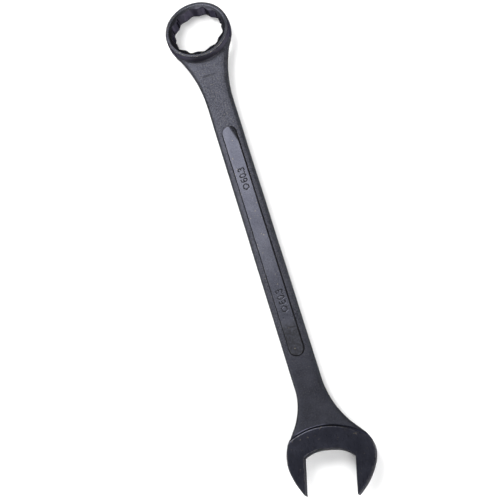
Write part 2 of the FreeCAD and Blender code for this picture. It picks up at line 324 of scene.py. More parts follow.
def box_neck_field(points):
    """Flared neck with a fillet up the ring's wall, hollow where the ring sits."""
    rho, w = ring_frame(points)
    proud = rho - ring_wall_r(w)
    ring = np.maximum(proud, np.abs(w) - RING_HALF)
    neck = bar(points) + 0.8 * forging_skin(points)
    x, y, z = points.T
    crease = np.hypot(x - CREASE_X - 0.03 * y, z - SHANK_TOP - 0.6)
    crease_fade = smooth_step(y, -13, -7) * smooth_step(-y, -11, -5)
    neck = neck + CREASE_DEPTH * crease_fade * smooth_step(-crease, -2.2, 0)
    solid = rounded_join(neck, ring + NECK_SINK, RING_ROOT_FILLET + NECK_SINK)
    solid = np.maximum(solid, neck - RING_ROOT_FILLET)
    solid = np.maximum(solid, -NECK_SKIN - proud)
    past_tip = np.maximum(x - NECK_TIP, 0)
    solid = np.maximum(solid, proud + NECK_SINK - NECK_RISE * past_tip * (1 + past_tip / 6))
    spot_face = np.maximum(rho - SPOT_FACE_R, w + RING_HALF)
    return rounded_meet(solid, -spot_face, 0.6)


def shank_field(points):
    """The straight bar with its uneven skin."""
    return bar(points) + forging_skin(points)


def head_back(points):
    """Distance from the axis of the head's round rear edge."""
    away = points[:, :2] - HEAD_BACK_CENTRE
    return np.hypot(away[:, 0], away[:, 1])


def open_neck_field(points):
    """Flared neck that runs on inside the head, a touch lower where the head covers it."""
    back = head_back(points)
    tuck = 0.2 * smooth_step(HEAD_BACK_R - back, -4.0, -2.5)
    neck = bar(points) + forging_skin(points) + tuck
    return np.maximum(neck, HEAD_BACK_R - NECK_OVERLAP - back)


def open_end_field(points):
    """Head and both jaws: flat ground faces, a sloped step and a fillet at its foot."""
    away = points[:, :2] - JAW_CENTRE
    along = away @ JAW_DIR
    share = away @ JAW_SIDE / JAW_HALF
    beside = (np.abs(share) - 1) * JAW_HALF
    behind = throat_reach(np.clip(share, -1, 1)) - along
    from_gap = np.maximum(beside, behind)
    rim = JAW_RIM_R + (HEAD_RIM_R - JAW_RIM_R) * smooth_step(from_gap, 2.0, 7.0)
    height = np.abs(points[:, 2])
    outline = plan_distance(points)
    flat = height - HEAD_TOP + 0.05 + 0.03 * ground_sway(points)
    outer = outline + 0.5 * forging_skin(points) * smooth_step(from_gap, 1.0, 6.0)
    head = rounded_meet(outer, flat, rim)
    back = head_back(points)
    slope = back + (height - HEAD_TOP) * HEAD_STEP_RUN / (HEAD_TOP - SHANK_TOP) - HEAD_BACK_R
    head = rounded_meet(head, slope * cos(pi / 4), HEAD_STEP_EDGE_R)
    past_step = back - HEAD_BACK_R - HEAD_STEP_RUN
    head = np.maximum(head, past_step - 0.4)
    neck = np.maximum(bar(points) + forging_skin(points) + 0.12, HEAD_BACK_R - NECK_OVERLAP - back)
    fillet = 0.05 + (HEAD_FOOT_FILLET - 0.05) * smooth_step(-outline, 1.0, 4.0)
    joined = rounded_join(head, neck, fillet)
    return np.maximum(joined, past_step - 2.6)


# ---- meshes -----------------------------------------------------------------
def sample_grid(field, low, cell, counts):
    """Field values at every grid corner, worked out one layer at a time."""
    ys = low[1] + cell[1] * np.arange(counts[1])
    zs = low[2] + cell[2] * np.arange(counts[2])
    values = np.empty(counts)
    for i in range(counts[0]):
        x = low[0] + cell[0] * i
        points = np.stack(np.meshgrid([x], ys, zs, indexing="ij"), -1).reshape(-1, 3)
        values[i] = field(points).reshape(counts[1:])
    return values


def net_surface(field, low, high, cell):
    """Even quad mesh of a field's zero surface: one vertex in each cell it crosses."""
    low = np.array(low, float)
    cell = np.array(cell, float)
    counts = np.ceil((np.array(high) - low) / cell).astype(int) + 1
    values = sample_grid(field, low, cell, counts)
    stride = np.array([(counts[1] - 1) * (counts[2] - 1), counts[2] - 1, 1])
    quads = []
    spots = []
    owners = []
    for axis in range(3):
        one = (axis + 1) % 3
        two = (axis + 2) % 3
        near = np.delete(values, -1, axis)
        far = np.delete(values, 0, axis)
        edges = np.argwhere((near < 0) != (far < 0))
        first = near[tuple(edges.T)]
        last = far[tuple(edges.T)]
        spot = low + edges * cell
        spot[:, axis] += cell[axis] * first / (first - last)
        corners = []
        for back_one, back_two in ((1, 1), (0, 1), (0, 0), (1, 0)):
            owner = edges.copy()
            owner[:, one] -= back_one
            owner[:, two] -= back_two
            corners.append(owner @ stride)
        ring = np.stack(corners, 1)
        spots.append(np.repeat(spot, 4, 0))
        quads.append(np.where((first < 0)[:, None], ring, ring[:, ::-1]))
        owners.append(ring.ravel())
    owners = np.concatenate(owners)
    spots = np.concatenate(spots)
    used, index = np.unique(owners, return_inverse=True)
    weight = np.bincount(index)
    verts = np.stack([np.bincount(index, spots[:, a]) / weight for a in range(3)], 1)
    return verts, np.searchsorted(used, np.concatenate(quads))


def gradient(field, points, reach=0.06):
    """Slope of the field, by central differences."""
    slopes = []
    for axis in range(3):
        shift = np.zeros(3)
        shift[axis] = reach
        slopes.append((field(points + shift) - field(points - shift)) / (2 * reach))
    return np.stack(slopes, 1)


def unit(vectors):
    return vectors / np.maximum(np.linalg.norm(vectors, axis=1), 1e-9)[:, None]


def settle(field, points, quads, cell):
    """Evens the net out and brings its vertices onto the true surface."""
    limit = 0.4 * min(cell)
    for relax in (0.5, 0.5, 0.0):
        if relax:
            total = np.zeros_like(points)
            for a in range(4):
                for b in ((a + 1) % 4, (a + 3) % 4):
                    np.add.at(total, quads[:, a], points[quads[:, b]])
            weight = 2 * np.bincount(quads.ravel(), minlength=len(points))[:, None]
            points = points + relax * (total / weight - points)
        slope = gradient(field, points)
        size2 = np.maximum((slope * slope).sum(1), 0.05)
        step = (field(points) / size2)[:, None] * slope
        size = np.maximum(np.linalg.norm(step, axis=1), 1e-9)[:, None]
        points = points - step * np.minimum(1, limit / size)
    return points


def curvature(mesh_points, pairs, normals):
    """Mean bend at each vertex: positive on outer edges, negative in hollows."""
    a, b = pairs.T
    gap = mesh_points[b] - mesh_points[a]
    bend = ((normals[b] - normals[a]) * gap).sum(1) / np.maximum((gap * gap).sum(1), 1e-6)
    total = np.bincount(a, bend, len(mesh_points)) + np.bincount(b, bend, len(mesh_points))
    weight = np.bincount(a, minlength=len(mesh_points)) + np.bincount(b, minlength=len(mesh_points))
    mean = total / np.maximum(weight, 1)
    for _ in range(2):
        total = np.bincount(a, mean[b], len(mean)) + np.bincount(b, mean[a], len(mean))
        mean = 0.5 * mean + 0.5 * total / np.maximum(weight, 1)
    return mean


def point_attribute(mesh, label, values):
    """Stores a 0..1 value at every vertex, for the materials to read."""
    attribute = mesh.attributes.new(label, "FLOAT", "POINT")
    attribute.data.foreach_set("value", np.clip(values, 0, 1).astype(np.float32))


def finish_piece(name, mesh, normals, material, cad_node):
    """Normals, edge-wear and painted-shade attributes and material of a mesh given in millimetres.
    """
    count = len(mesh.vertices)
    points = np.empty(count * 3)
    mesh.vertices.foreach_get("co", points)
    points = points.reshape(-1, 3)
    pairs = np.empty(len(mesh.edges) * 2, int)
    mesh.edges.foreach_get("vertices", pairs)
    bend = curvature(points, pairs.reshape(-1, 2), normals)
    point_attribute(mesh, "edge_wear", bend / 0.35)
    # hollow: how far a vertex sits in a crease or corner, which the materials darken as painted
    # shade
    point_attribute(mesh, "hollow", -bend / 0.25)
    mesh.vertices.foreach_set("co", (points * MM).ravel())
    mesh.polygons.foreach_set("use_smooth", np.ones(len(mesh.polygons), bool))
    loop_vertex = np.empty(len(mesh.loops), int)
    mesh.loops.foreach_get("vertex_index", loop_vertex)
    loop_normals = normals[loop_vertex]
    for face in mesh.polygons:
        if face.loop_total > CAP_SIDES:
            loop_normals[face.loop_start:face.loop_start + face.loop_total] = face.normal
    mesh.update()
    mesh.normals_split_custom_set(loop_normals.tolist())
    mesh.materials.append(material)
    piece = bpy.data.objects.new(name, mesh)
    bpy.context.scene.collection.objects.link(piece)
    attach(piece, "root")
    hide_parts(cad_node)


def mesh_from(name, points, faces):
    mesh = bpy.data.meshes.new(name)
    mesh.from_pydata(points.tolist(), [], [list(f) for f in faces])
    mesh.validate()
    return mesh


def cut_mesh(name, points, quads, cuts):
    """Closed mesh of what lies behind every cut plane; each cut is capped flat.

    A cut is (point, normal, side): side limits it to faces on that side of the jaw
    axis, or is 0 for all.
    """
    mesh = mesh_from(name, points, quads)
    work = bmesh.new()
    work.from_mesh(mesh)
    for point, normal, side in cuts:
        picked = list(work.faces)
        if side:
            picked = [f for f in work.faces if side * across_jaws(f.calc_center_median()) > 0]
        parts = set(picked)
        parts.update(e for f in picked for e in f.edges)
        parts.update(v for f in picked for v in f.verts)
        bmesh.ops.bisect_plane(
            work, geom=list(parts), plane_co=point, plane_no=normal, clear_outer=True)
        rim = [e for e in work.edges if e.is_boundary]
        bmesh.ops.holes_fill(work, edges=rim, sides=0)
    loose = [v for v in work.verts if not v.link_faces]
    bmesh.ops.delete(work, geom=loose, context="VERTS")
    bmesh.ops.recalc_face_normals(work, faces=work.faces)
    work.to_mesh(mesh)
    work.free()
    return mesh


def across_jaws(point):
    """How far a point lies to the +Y side of the jaw axis."""
    return (point[0] - JAW_CENTRE[0]) * JAW_SIDE[0] + (point[1] - JAW_CENTRE[1]) * JAW_SIDE[1]


def field_normals(mesh, field):
    points = np.empty(len(mesh.vertices) * 3)
    mesh.vertices.foreach_get("co", points)
    return unit(gradient(field, points.reshape(-1, 3), 0.12))


def face_normals(points, quads):
    """Vertex normals of a quad mesh, weighted by the area of its faces."""
    a, b, c, d = (points[quads[:, i]] for i in range(4))
    area = np.cross(c - a, d - b)
    total = np.zeros_like(points)
    for i in range(4):
        np.add.at(total, quads[:, i], area)
    return unit(total)


def field_piece(name, field, low, high, cell, material, cuts):
    """Piece meshed from a field, cut flat where it meets its neighbour."""
    points, quads = net_surface(field, low, high, cell)
    points = settle(field, points, quads, cell)
    mesh = cut_mesh(name, points, quads, cuts)
    finish_piece(name, mesh, field_normals(mesh, field), material, name)


# ---- the box end's ring -----------------------------------------------------
CORNER_STEPS = 4              # points round each corner of the section
CROWN_STEPS = 15              # points down the crowned outer wall
FACE_STEPS = 5                # points across each face and chamfer
SOCKET_STEPS = 10             # points down the socket's wall


def ring_angles():
    """Turns about the ring axis, closer together across each notch bottom."""
    notch = degrees(radians(30) - acos(SOCKET_HALF / SOCKET_RELIEF_R))
    period = np.concatenate([
        np.linspace(-15, -notch, 26, endpoint=False),
        np.linspace(-notch, notch, 9, endpoint=False),
        np.linspace(notch, 15, 26, endpoint=False)])
    turns = [period + 30 * i for i in range(12)]
    return np.tile(period, 12), np.radians(np.concatenate(turns) + SOCKET_PHASE_DEG)


def step_towards(corner, other, reach):
    """The points at a distance from each corner towards its neighbour."""
    way = other - corner
    return corner + way * reach / np.linalg.norm(way, axis=-1)[..., None]


def blend_corner(before, corner, after, reach):
    """Points that round a profile corner."""
    start = step_towards(corner, before, reach)
    end = step_towards(corner, after, reach)
    steps = []
    for share in np.linspace(0, 1, CORNER_STEPS):
        rest = 1 - share
        steps.append(rest ** 2 * start + 2 * share * rest * corner + share ** 2 * end)
    return steps


def ring_profile(socket_r):
    """Closed loop of (radius, height) points round the ring's section at each angle.

    Each corner comes with the reach of its rounding, which is 0 on the crowned wall.
    """
    mouth_top = RING_HALF - (SOCKET_MOUTH_R - socket_r) * tan(radians(SOCKET_MOUTH_DEG))
    ones = np.ones_like(socket_r)
    upper = [
        (np.stack([socket_r, mouth_top], -1), 0.5),
        (np.stack([SOCKET_MOUTH_R * ones, RING_HALF * ones], -1), 0.6),
        (np.stack([RING_FACE_R * ones, RING_HALF * ones], -1), 0.9),
    ]
    lower = [(corner * (1, -1), reach) for corner, reach in reversed(upper)]
    crown = []
    for height in np.linspace(RING_HALF, -RING_HALF, CROWN_STEPS)[1:-1]:
        crown.append((np.stack([ring_wall_r(height) * ones, height * ones], -1), 0))
    corners = upper + crown + lower
    loop = []
    for i, (corner, reach) in enumerate(corners):
        before = corners[i - 1][0]
        after, next_reach = corners[(i + 1) % len(corners)]
        if reach:
            loop += blend_corner(before, corner, after, reach)
        else:
            loop.append(corner)
        if reach and next_reach:
            steps = SOCKET_STEPS if i == len(corners) - 1 else FACE_STEPS
            for share in np.linspace(0.12, 0.88, steps):
                loop.append(corner + (after - corner) * share)
    return np.stack(loop, 1)


def ring_mesh():
    """Vertices and faces of the ring, and where it is broached or left as forged."""
    from_notch, turn = ring_angles()
    flat_r = SOCKET_HALF / np.cos(np.radians(30 - np.abs(from_notch)))
    socket_r = np.minimum(flat_r, SOCKET_RELIEF_R)
    profile = ring_profile(socket_r)
    radius, height = profile[..., 0], profile[..., 1]
    u = radius * np.cos(turn)[:, None]
    v = radius * np.sin(turn)[:, None]
    flat = np.stack([u, v, height], -1).reshape(-1, 3)
    outer = smooth_step(np.hypot(flat[:, 0], flat[:, 1]), RING_FACE_R - 0.6, RING_FACE_R)
    inward = (0.11 + 0.045 * forged_lumps(flat) + 0.05 * forged_sway(flat)) * outer
    flat[:, :2] *= (1 - inward / RING_MID_R)[:, None]
    flat[:, 2] *= 1 - 0.003 * (1 + ground_sway(flat) * 0.5)
    x = flat[:, 0] * cos(RING_LEAN) - flat[:, 2] * sin(RING_LEAN)
    z = flat[:, 0] * sin(RING_LEAN) + flat[:, 2] * cos(RING_LEAN)
    points = np.stack([x, flat[:, 1], z], -1)
    broached = smooth_step(-radius.ravel(), -SOCKET_RELIEF_R - 0.5, -SOCKET_RELIEF_R)
    broached *= smooth_step(-np.abs(height.ravel()), -RING_HALF + 0.8, -RING_HALF + 2.2)
    wall = smooth_step(radius.ravel(), RING_FACE_R - 0.3, RING_FACE_R + 0.2)
    return points, grid_quads(*radius.shape, wrap=(True, True)), broached, wall


def grid_quads(rows, columns, wrap=(False, False)):
    """Faces of a grid of vertices, closed on itself where wrap says so."""
    row = np.arange(rows if wrap[0] else rows - 1)[:, None]
    column = np.arange(columns if wrap[1] else columns - 1)[None, :]
    next_row = (row + 1) % rows
    next_column = (column + 1) % columns
    corners = [row * columns + column, next_row * columns + column,
               next_row * columns + next_column, row * columns + next_column]
    return np.stack(corners, -1).reshape(-1, 4)


def ring_piece(material):
    points, quads, broached, wall = ring_mesh()
    normals = face_normals(points, quads)
    mesh = mesh_from("box_ring", points, quads)
    point_attribute(mesh, "broached", broached)
    point_attribute(mesh, "forged_wall", wall)
    finish_piece("box_ring", mesh, normals, material, "box_ring")


# ---- raised panels ----------------------------------------------------------
def circle_stroke(centre, radius, start_deg, end_deg, squash=1.0):
    """Points of a round stroke, narrowed across by squash."""
    turn = np.radians(np.linspace(start_deg, end_deg, 14))
    u = centre[0] + radius * np.cos(turn) * squash
    v = centre[1] + radius * np.sin(turn)
    return np.stack([u, v], 1)


def mark_strokes():
    """Generic size mark: a hexagon and 60.3, the size across flats in millimetres."""
    turn = np.radians(np.arange(0, 361, 60))
    hexagon = np.stack([3.6 + 3.7 * np.cos(turn), 3.9 + 3.7 * np.sin(turn)], 1)
    six = np.concatenate([
        circle_stroke((12.6, 5.2), 2.6, 60, 180, 0.85),
        circle_stroke((12.4, 2.3), 2.2, 180, 540, 0.92)])
    zero = circle_stroke((18.6, 3.9), 3.9, 0, 360, 0.56)
    point = np.array([[22.3, 0.3], [22.8, 0.3], [22.8, 0.8], [22.3, 0.8]])
    three = np.concatenate([
        circle_stroke((26.4, 5.9), 1.9, 150, -90),
        circle_stroke((26.4, 2.1), 2.1, 90, -150)])
    return [hexagon, six, zero, point, three]


def stroke_distance(u, v):
    """Distance from each point to the nearest stroke of the mark."""
    best = np.full(u.shape, 9.0)
    for stroke in mark_strokes():
        for a, b in zip(stroke[:-1], stroke[1:]):
            run = b - a
            along = np.clip(((u - a[0]) * run[0] + (v - a[1]) * run[1]) / (run @ run), 0, 1)
            away = np.hypot(u - a[0] - along * run[0], v - a[1] - along * run[1])
            best = np.minimum(best, away)
    return best


def panel_grid():
    """Rows along the panel and columns across it, closer together at its edges."""
    radius = PANEL_HIGH[1]
    turn = np.radians(np.linspace(4, 90, 30))
    start = PANEL_LOW[0] + radius * (1 - np.cos(turn))
    end = PANEL_HIGH[0] - radius * (1 - np.cos(turn[::-1]))
    middle = np.linspace(start[-1], end[0], 720)[1:-1]
    x = np.concatenate([start, middle, end])
    edge = np.linspace(0, 2.4, 14)
    flat = np.linspace(2.4, radius, 22)[1:]
    half = radius - np.concatenate([edge, flat])
    share = np.concatenate([-half, half[::-1][1:]]) / radius
    return x, share


def panel_surface(x, share, side):
    """Grid of points over a panel's top and sides, and how much painted shade each one gets where
    the belt missed it.
    """
    radius = PANEL_HIGH[1]
    rise = PANEL_HIGH[2] - SHANK_TOP
    over = np.maximum(PANEL_LOW[0] + radius - x, 0) + np.maximum(x - PANEL_HIGH[0] + radius, 0)
    half_width = np.sqrt(np.maximum(radius ** 2 - over ** 2, 0.2))
    X = np.repeat(x[:, None], len(share), 1)
    Y = half_width[:, None] * share[None, :]
    depth_in = radius - np.hypot(over[:, None], Y)
    ramp = (depth_in - 0.15) * rise / (PANEL_SIDE_RUN - PANEL_ROUND)
    Z = np.minimum(ramp, rise)
    Z = Z - 0.18 * np.maximum(0, 1 - np.abs(ramp - rise) / PANEL_ROUND) ** 2
    spots = np.stack([X, Y, Z], -1).reshape(-1, 3)
    sway = (0.025 + 0.018 * ground_sway(spots)).reshape(X.shape)
    Z = Z - sway * np.clip(Z / rise, 0, 1)
    # The belt missed the drafted sides; they are painted dark as shade, widest on the +Y side, away
    # from the light.
    unground_shade_edge = -PANEL_SIDE_RUN - PANEL_SHADE_WIDEN * smooth_step(Y, 0, radius)
    unground_and_shade = smooth_step(-depth_in, unground_shade_edge, unground_shade_edge + 0.6)
    if side > 0:
        facet = notch_plane(X, Y, rise)
        # the front panel's corner facet is left off the belt and painted half dark as shade
        unground_and_shade = np.maximum(unground_and_shade, 0.55 * smooth_step(-facet, -rise, -rise + 0.3))
        Z = (Z + facet - np.hypot(Z - facet, 0.12)) / 2
        for end in MARK_ENDS:
            distance = stroke_distance(end - X, MARK_FOOT - Y)
            Z = Z - MARK_DEPTH * smooth_step(-distance, -MARK_HALF_STROKE, -0.15)
    Z = np.maximum(Z, -0.35)
    return np.stack([X, Y, SHANK_TOP + Z], -1), half_width, unground_and_shade


def panel_faces(rows, columns):
    """Faces over a panel's grid, then down its sides and ends and across its base."""
    offset = rows * columns
    low_edge = np.arange(rows) * columns
    high_edge = low_edge + columns - 1
    low_base = offset + 2 * np.arange(rows)
    high_base = low_base + 1
    skirts = [
        np.stack([low_edge[:-1], low_base[:-1], low_base[1:], low_edge[1:]], 1)[:, ::-1],
        np.stack([high_edge[:-1], high_edge[1:], high_base[1:], high_base[:-1]], 1)[:, ::-1],
        np.stack([low_base[:-1], high_base[:-1], high_base[1:], low_base[1:]], 1)]
    faces = [list(f) for f in np.concatenate([grid_quads(rows, columns)] + skirts)]
    first_end = list(range(columns)) + [high_base[0], low_base[0]]
    last_row = (rows - 1) * columns
    last_end = list(range(last_row, last_row + columns)) + [high_base[-1], low_base[-1]]
    faces.append(first_end[::-1])
    faces.append(last_end)
    return faces


def panel_piece(name, side, material):
    """Drafted boss with rounded shoulders, ground across, marked on the front face."""
    x, share = panel_grid()
    top, half_width, unground_and_shade = panel_surface(x, share, side)
    base = np.stack([
        np.repeat(x, 2), (half_width[:, None] * (-1, 1)).ravel(),
        np.full(2 * len(x), SHANK_TOP - PANEL_SINK)], -1)
    points = np.concatenate([top.reshape(-1, 3), base])
    faces = panel_faces(*unground_and_shade.shape)
    if side < 0:
        points[:, 2] *= -1
        faces = [f[::-1] for f in faces]
    normals = face_normals(points, np.array([f for f in faces if len(f) == 4]))
    mesh = mesh_from(name, points, faces)
    fix = bmesh.new()
    fix.from_mesh(mesh)
    bmesh.ops.recalc_face_normals(fix, faces=fix.faces)
    fix.to_mesh(mesh)
    fix.free()
    point_attribute(mesh, "unground_and_shade", np.concatenate([unground_and_shade.ravel(), np.ones(len(base))]))
    finish_piece(name, mesh, normals, material, name)


def notch_plane(x, y, rise):
    """Height of the sloped facet left at the panel's corner, where the belt missed."""
    shoulder = PANEL_HIGH[1] - PANEL_SIDE_RUN
    a = np.array([PANEL_LOW[0] + PANEL_SIDE_RUN, shoulder - PANEL_NOTCH[1], rise])
    b = np.array([a[0] + PANEL_NOTCH[0], shoulder, rise])
    c = np.array([PANEL_LOW[0], PANEL_HIGH[1], 0.3])
    normal = np.cross(b - a, c - a)
    normal *= np.sign(normal[2])
    return rise - ((x - a[0]) * normal[0] + (y - a[1]) * normal[1]) / normal[2]


# ---- materials --------------------------------------------------------------
EDGE_TINT = (0.22, 0.22, 0.25, 1)   # how much the oxide reflects at a glancing angle
DEEP = 0.008                        # grey of the darkest smudges, and of the painted shade in hollows
DRY_SPECK = (0.15, 0.135, 0.10, 1)  # warm dots left on the skin by handling
PANEL_SPECK = (0.16, 0.135, 0.09, 1)
SCUFF = (0.12, 0.105, 0.085, 1)
BARE_EDGE = (0.36, 0.33, 0.26, 1)   # oxide rubbed off the ring's rim
RING_SKIN = (0.055, 0.052, 0.070, 1)
# painted shade and painted sheen: dark and light stripes down the socket that stand for the light
# its facets catch
SOCKET_PAINTED_SHADE = (0.008, 0.006, 0.010, 1)
SOCKET_PAINTED_SHEEN = (0.075, 0.070, 0.095, 1)


class Shader:
    """A node material with short calls for the nodes used here."""

    def __init__(self, name, record_slot):
        self.material = bpy.data.materials.new(name)
        self.material["record_slot"] = record_slot
        self.material.use_nodes = True
        self.nodes = self.material.node_tree.nodes
        self.links = self.material.node_tree.links
        self.shader = self.nodes["Principled BSDF"]
        coordinates = self.nodes.new("ShaderNodeTexCoord")
        scale = self.add("ShaderNodeVectorMath", operation="SCALE")
        self.link(coordinates.outputs["Object"], scale.inputs[0])
        scale.inputs["Scale"].default_value = 1 / MM
        self.place = scale.outputs[0]

    def add(self, kind, **settings):
        node = self.nodes.new(kind)
        for key, value in settings.items():
            setattr(node, key, value)
        return node

    def link(self, source, target):
        self.links.new(source, target)

    def put(self, socket, value):
        """Links an output, or sets a plain value."""
        if isinstance(value, bpy.types.NodeSocket):
            self.link(value, socket)
        else:
            socket.default_value = value

    def math(self, operation, a, b):
        node = self.add("ShaderNodeMath", operation=operation)
        self.put(node.inputs[0], a)
        self.put(node.inputs[1], b)
        return node.outputs[0]

    def times(self, a, b):
        return self.math("MULTIPLY", a, b)

    def plus(self, a, b):
        return self.math("ADD", a, b)

    def noise(self, per_mm, detail, stretch=(1, 1, 1), shift=0.0):
        """Noise between 0 and 1, with so many features per millimetre."""
        mapping = self.add("ShaderNodeMapping")
        self.link(self.place, mapping.inputs["Vector"])
        mapping.inputs["Location"].default_value = (shift, shift * 0.7, shift * 1.3)
        mapping.inputs["Scale"].default_value = stretch
        node = self.add("ShaderNodeTexNoise")
        self.link(mapping.outputs[0], node.inputs["Vector"])
        node.inputs["Scale"].default_value = per_mm
        node.inputs["Detail"].default_value = detail
        return node.outputs["Fac"]

    def remap(self, value, low, high, out_low=0.0, out_high=1.0):
        node = self.add("ShaderNodeMapRange", interpolation_type="SMOOTHSTEP")
        self.put(node.inputs["Value"], value)
        for name, number in (
                ("From Min", low), ("From Max", high), ("To Min", out_low), ("To Max", out_high)):
            node.inputs[name].default_value = number
        return node.outputs[0]

    def mix(self, share, a, b):
        node = self.add("ShaderNodeMix", data_type="RGBA")
        self.put(node.inputs[0], share)
        self.put(node.inputs[6], a)
        self.put(node.inputs[7], b)
        return node.outputs[2]

    def attribute(self, name):
        return self.add("ShaderNodeAttribute", attribute_name=name).outputs["Fac"]

    def along(self):
        """Place along the wrench, in millimetres from the socket's centre."""
        split = self.add("ShaderNodeSeparateXYZ")
        self.link(self.place, split.inputs[0])
        return split.outputs[0]

    def bump(self, height_mm):
        node = self.add("ShaderNodeBump")
        node.inputs["Distance"].default_value = MM
        self.link(height_mm, node.inputs["Height"])
        self.link(node.outputs[0], self.shader.inputs["Normal"])

    def finish(self, colour, metallic, rough, height_mm):
        """Joins the worked-out looks to the surface."""
        self.link(colour, self.shader.inputs["Base Color"])
        self.shader.inputs["Metallic"].default_value = metallic
        self.shader.inputs["Specular Tint"].default_value = EDGE_TINT
        self.link(rough, self.shader.inputs["Roughness"])
        self.bump(height_mm)
        return self.material


def grey(level, blue):
    """A grey with a share of extra blue."""
    return (level, level * (1 + blue * 0.1), level * (1 + blue), 1.0)


def forged_steel():
    """Black oxide over the fine, even grain of a shot-blasted forging."""
    s = Shader("black_oxide_forged", "forged_steel")
    x = s.along()
    calm_from = PANEL_HIGH[0] - 60
    broad = s.noise(0.05, 3, shift=4)
    grain = s.noise(0.55, 4, shift=11)
    fine = s.noise(2.1, 2, shift=23)
    pits = s.remap(s.noise(0.5, 2, shift=31), 0.62, 0.74)
    specks = s.remap(s.noise(1.1, 1, shift=47), 0.66, 0.74)
    by_head = s.remap(x, calm_from, OPEN_SEAM)
    calm = s.remap(x, calm_from, OPEN_SEAM, 1.0, 0.35)
    wear = s.times(s.attribute("edge_wear"), s.remap(s.noise(0.25, 3), 0.35, 0.65))
    colour = s.mix(s.remap(broad, 0.3, 0.7), grey(0.018, 0.36), grey(0.029, 0.32))
    colour = s.mix(s.times(s.remap(grain, 0.38, 0.66), calm), colour, grey(0.043, 0.26))
    colour = s.mix(s.times(by_head, 0.2), colour, grey(DEEP, 0.4))
    colour = s.mix(s.times(s.times(specks, calm), 0.6), colour, DRY_SPECK)
    colour = s.mix(s.times(pits, 0.5), colour, grey(0.010, 0.1))
    colour = s.mix(s.times(wear, 0.30), colour, grey(0.075, 0.03))
    # painted shade: creases and corners go darker by the hollow attribute
    colour = s.mix(s.times(s.attribute("hollow"), 0.6), colour, grey(DEEP, 0.1))
    rough = s.plus(s.remap(fine, 0.3, 0.7, 0.38, 0.50), s.times(wear, -0.08))
    height = s.plus(s.times(grain, 0.13), s.times(fine, 0.06))
    height = s.plus(height, s.times(pits, -0.05))
    return s.finish(colour, 0.75, rough, height)


def ground_steel():
    """Black oxide over ground faces, with the broached socket and the ring's forged wall."""
    s = Shader("black_oxide_ground", "ground_steel")
    x = s.along()
    broad = s.noise(0.045, 4, shift=7)
    smudge = s.remap(s.noise(0.06, 3, shift=19), 0.52, 0.70)
    marks = s.noise(1.2, 2, stretch=(0.12, 1.6, 1.0), shift=29)
    fine = s.noise(1.6, 2, shift=37)
    scuffs = s.remap(s.noise(0.26, 3, stretch=(1.3, 0.7, 1), shift=53), 0.66, 0.72)
    by_shank = s.remap(x, RING_FACE_R * 0.4, RING_FACE_R * 0.8, 0.08, 1.0)
    by_ring = s.remap(x, BOX_SEAM * 0.6, BOX_SEAM, 1.0, 0.12)
    rubbed = s.remap(s.noise(0.55, 3), 0.40, 0.62)
    edge = s.remap(s.attribute("edge_wear"), 0.25, 0.9)
    wear = s.times(s.times(edge, rubbed), s.times(by_shank, by_ring))
    # Vertical stripes down the broached socket, painted dark and light as the shade and sheen of
    # its facets.
    streak = s.noise(0.2, 2, stretch=(1, 1, 0.05), shift=71)
    broached = s.attribute("broached")
    painted_shade_streak = s.times(broached, s.remap(streak, 0.50, 0.62, 0.0, 0.4))
    painted_sheen_streak = s.times(broached, s.remap(streak, 0.38, 0.48, 1.0, 0.45))
    wall = s.attribute("forged_wall")
    colour = s.mix(s.remap(broad, 0.3, 0.7), grey(0.022, 0.52), grey(0.033, 0.45))
    colour = s.mix(s.times(by_ring, 0.6), colour, grey(0.034, 0.12))
    colour = s.mix(s.times(smudge, 0.5), colour, grey(DEEP, 0.3))
    colour = s.mix(wall, colour, RING_SKIN)
    colour = s.mix(s.times(scuffs, 0.6), colour, SCUFF)
    colour = s.mix(painted_shade_streak, colour, SOCKET_PAINTED_SHADE)
    colour = s.mix(painted_sheen_streak, colour, SOCKET_PAINTED_SHEEN)
    colour = s.mix(wear, colour, BARE_EDGE)
    # painted shade: creases and corners go a little darker by the hollow attribute
    colour = s.mix(s.times(s.attribute("hollow"), 0.2), colour, grey(DEEP, 0.1))
    rough = s.plus(s.remap(marks, 0.3, 0.7, 0.27, 0.36), s.times(smudge, 0.08))
    rough = s.plus(rough, s.times(wall, 0.14))
    height = s.plus(s.times(marks, 0.02), s.times(fine, 0.015))
    return s.finish(colour, 0.95, rough, height)


